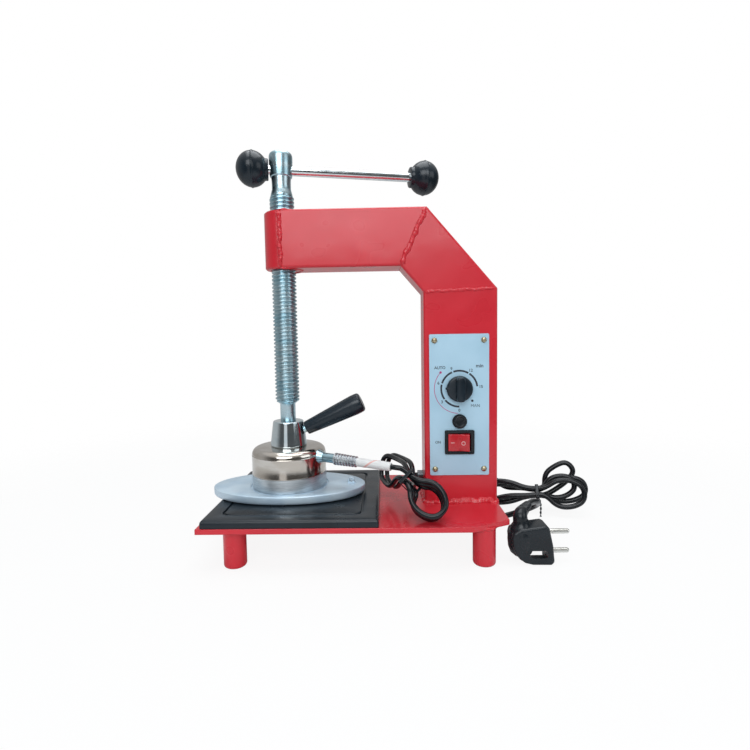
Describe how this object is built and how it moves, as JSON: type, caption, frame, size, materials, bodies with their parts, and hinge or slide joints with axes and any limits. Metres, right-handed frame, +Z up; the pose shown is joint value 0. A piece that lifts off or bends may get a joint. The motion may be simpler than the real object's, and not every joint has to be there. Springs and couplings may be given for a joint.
{
  "type": "tire vulcanizing press",
  "caption": "Bench press for vulcanizing a tyre patch: hand screw with tommy bar, electric heating head, aluminium mould, rubber bed and timer panel on a welded frame.",
  "frame": {"origin": "on the floor under the middle of the overall length, from the mould's left edge to the base plate's right edge, and under the middle of the base plate's depth", "axes": "+Z up, front (control panel side) towards -Y, column on the +X side"},
  "size_m": [0.4392, 0.1993, 0.4189],
  "materials": {
    "red_paint": "glossy enamel",
    "zinc_steel": "turned and zinc plated",
    "bright_bar": "bright plated",
    "polished_cover": "spun and polished",
    "cast_aluminium": "fine machined",
    "black_knob": "glossy moulded",
    "pad_rubber": "matt moulded",
    "cord_black": "smooth sheath",
    "white_sleeving": "woven glass sleeving",
    "panel_sheet": "satin printed sheet",
    "yellow_zinc": "yellow passivated",
    "black_plastic": "moulded",
    "red_rocker": "translucent moulded",
    "fuse_glass_clear": "clear",
    "nickel": "nickel plated",
    "cream_plastic": "moulded",
    "mica_board": "pressed board"
  },
  "bodies": {
    "frame": {"base_plate": "red_paint", "legs": "red_paint", "column_tube": "red_paint", "brace_tube": "red_paint", "arm_tube": "red_paint", "threaded_sleeve": "red_paint", "rubber_pad": "pad_rubber", "control_panel": "panel_sheet", "panel_screws": "yellow_zinc", "timer_body": "black_plastic", "timer_nut": "nickel", "fuse_holder": "black_plastic", "fuse_nut": "black_plastic", "switch_body": "black_plastic", "terminal_block": "cream_plastic", "terminal_screws": "nickel", "earth_screw": "yellow_zinc", "earth_nut": "yellow_zinc", "cable_entry": "zinc_steel", "mains_gland": "black_plastic", "heater_cable_lead": "cord_black", "heater_cable_hank": "cord_black", "heater_cable_tail": "cord_black", "heater_cable_tie": "black_plastic", "mains_cord_lead": "cord_black", "mains_cord_hank": "cord_black", "mains_cord_tail": "cord_black", "mains_cord_tie": "black_plastic", "plug_body": "black_plastic", "plug_pins": "nickel"},
    "heating_head": {"heater_plate": "cast_aluminium", "heating_element": "nickel", "thermostat": "cream_plastic", "insulation_disc": "mica_board", "head_cover": "polished_cover", "spacer_tube": "zinc_steel", "head_bolt": "zinc_steel", "pressure_cone": "zinc_steel", "thrust_washer": "zinc_steel", "handle_stud": "zinc_steel", "handle_grip": "black_knob", "outlet_stub": "zinc_steel", "strain_relief": "zinc_steel", "white_sleeve": "white_sleeving", "outlet_cable": "cord_black"},
    "press_screw": {"press_screw": "zinc_steel"},
    "tommy_bar": {"tommy_bar": "bright_bar", "bar_knobs": "black_knob"},
    "mould": {"aluminium_mould": "cast_aluminium"},
    "timer_knob": {"timer_knob": "black_plastic", "timer_shaft": "nickel"},
    "switch_rocker": {"rocker": "red_rocker"},
    "fuse_carrier": {"fuse_cap": "black_plastic", "fuse_glass": "fuse_glass_clear", "fuse_ends": "nickel"}
  },
  "joints": [
    {"name": "press_feed", "type": "slide", "parent": "frame", "child": "heating_head", "axis": [0, 0, 1], "range_m": [0, 0.13], "deforming": ["heater_cable_lead"]},
    {"name": "screw_turn", "type": "hinge", "parent": "heating_head", "child": "press_screw", "pos_m": [-0.071, 0, 0], "axis": [0, 0, 1], "range_deg": [0, 11700]},
    {"name": "bar_slide", "type": "slide", "parent": "press_screw", "child": "tommy_bar", "axis": [-0.9755, -0.2198, 0], "range_m": [0, 0.129]},
    {"name": "mould_out", "type": "slide", "parent": "frame", "child": "mould", "axis": [0, -1, 0], "range_m": [0, 0.15]},
    {"name": "timer_turn", "type": "hinge", "parent": "frame", "child": "timer_knob", "pos_m": [0.11415, -0.0212, 0.1655], "axis": [0, 1, 0], "range_deg": [-136, 175]},
    {"name": "rocker_tilt", "type": "hinge", "parent": "frame", "child": "switch_rocker", "pos_m": [0.11415, -0.0182, 0.1089], "axis": [0, 0, 1], "range_deg": [0, 18]},
    {"name": "fuse_out", "type": "slide", "parent": "frame", "child": "fuse_carrier", "axis": [0, -1, 0], "range_m": [0, 0.035]}
  ],
  "couplings": [
    {"joint": "screw_turn", "follows": "press_feed", "rad_per_m": 1570.8}
  ]
}
